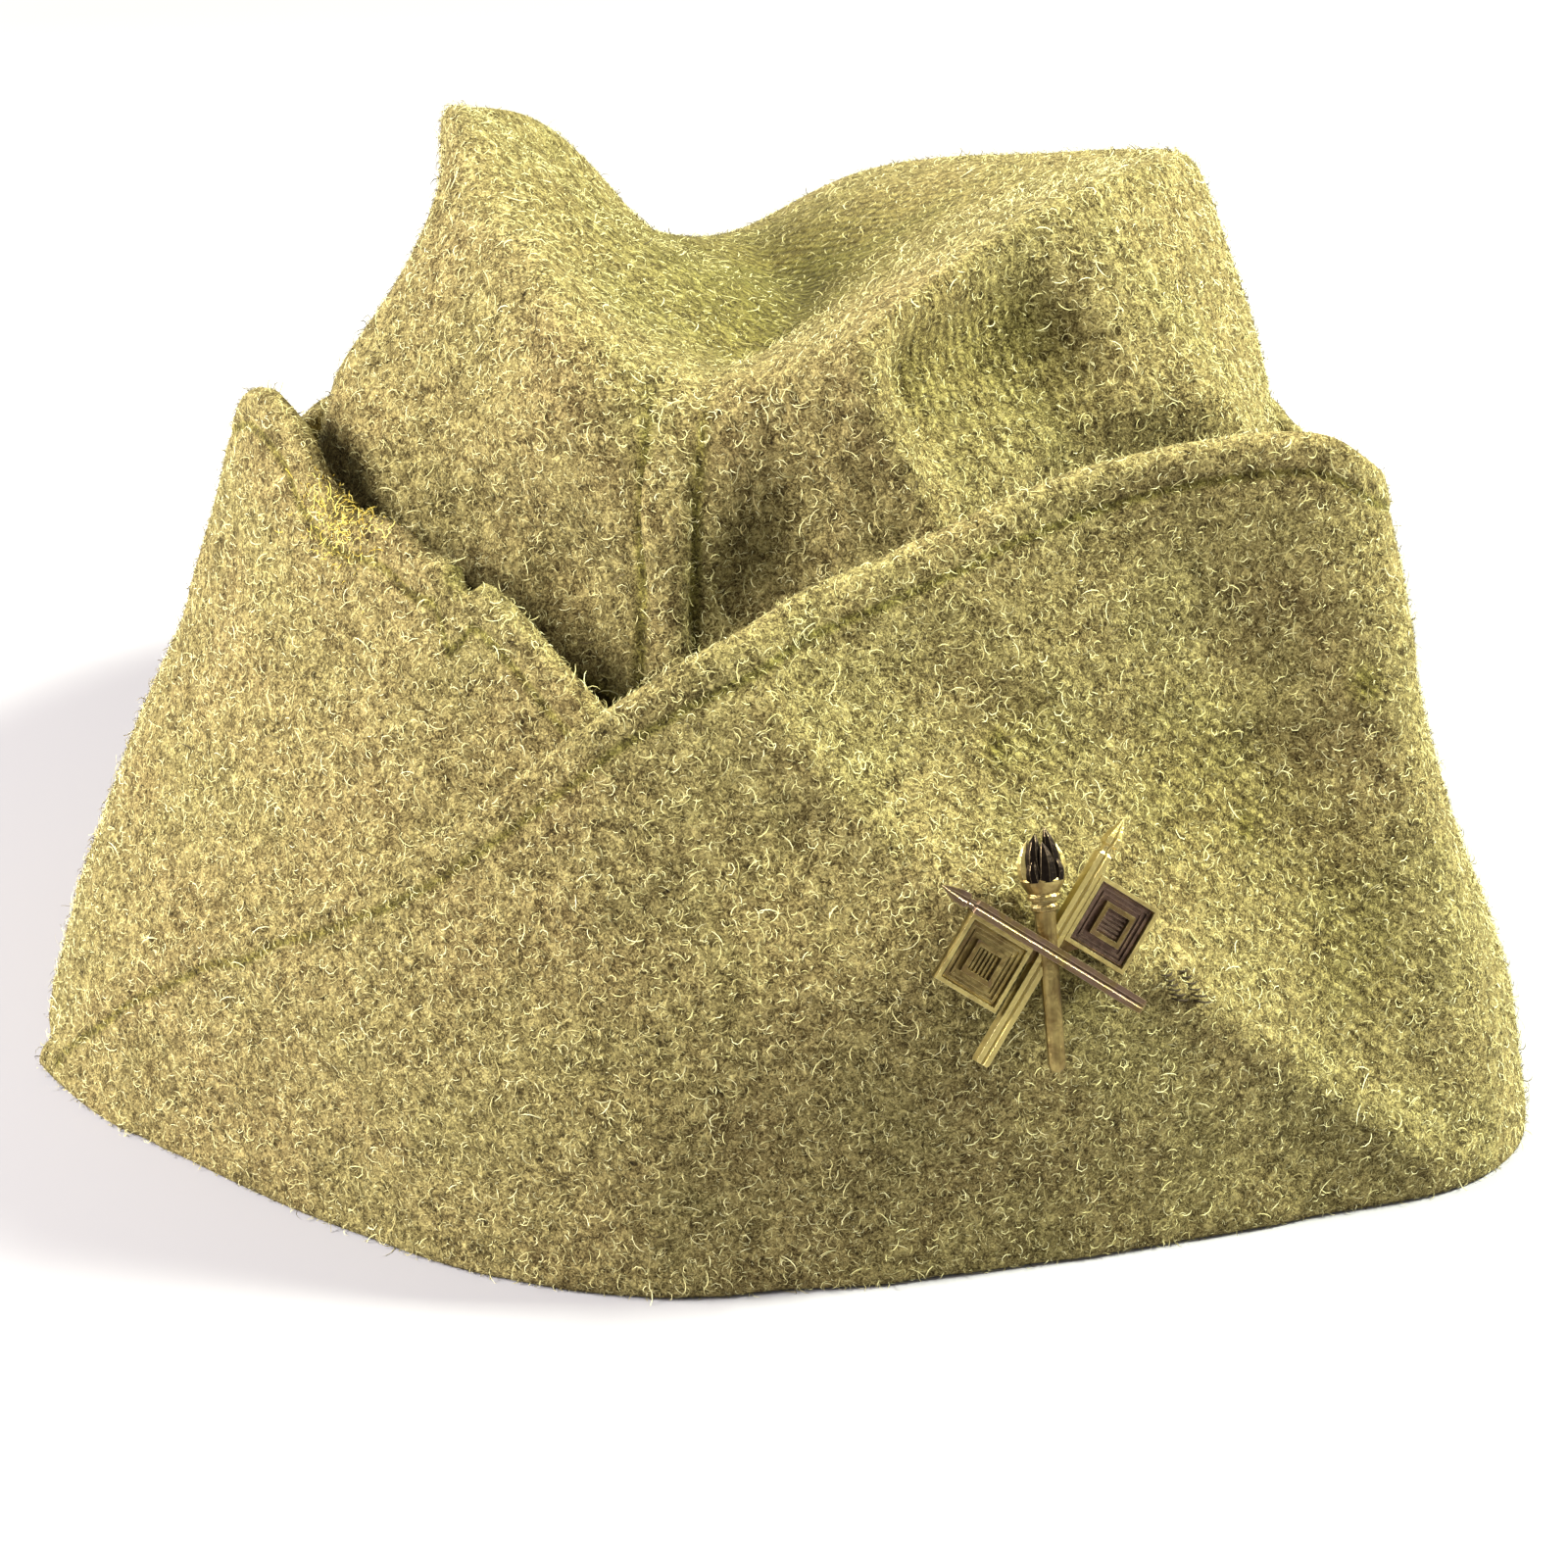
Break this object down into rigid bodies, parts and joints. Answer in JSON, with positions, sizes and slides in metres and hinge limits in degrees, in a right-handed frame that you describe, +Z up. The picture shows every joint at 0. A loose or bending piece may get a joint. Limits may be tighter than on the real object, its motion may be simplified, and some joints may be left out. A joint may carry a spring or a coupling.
{
  "type": "garrison cap",
  "caption": "Folding wool overseas cap with a turned-up flap all round, a sunken folded top and a small brass badge, standing open on its rim.",
  "frame": {"origin": "middle of the rim, on the surface the cap stands on", "axes": "+Z up, the front of the cap toward -Y, +X to the wearer's left"},
  "size_m": [0.182, 0.1899, 0.1056],
  "materials": {
    "wool_melton": "olive-drab wool melton with a short curly nap",
    "wool_twill_top": "olive-drab wool with its twill ribs showing through the nap",
    "tarnished_brass": "cast brass, brown with tarnish and rubbed bright on its edges"
  },
  "bodies": {
    "root": {"crown_side_left": "wool_melton", "crown_side_right": "wool_melton", "crown_top": "wool_twill_top", "front_welt": "wool_melton", "curtain_left": "wool_melton", "curtain_right": "wool_melton", "badge": "tarnished_brass", "badge_clasp": "tarnished_brass"}
  },
  "joints": []
}
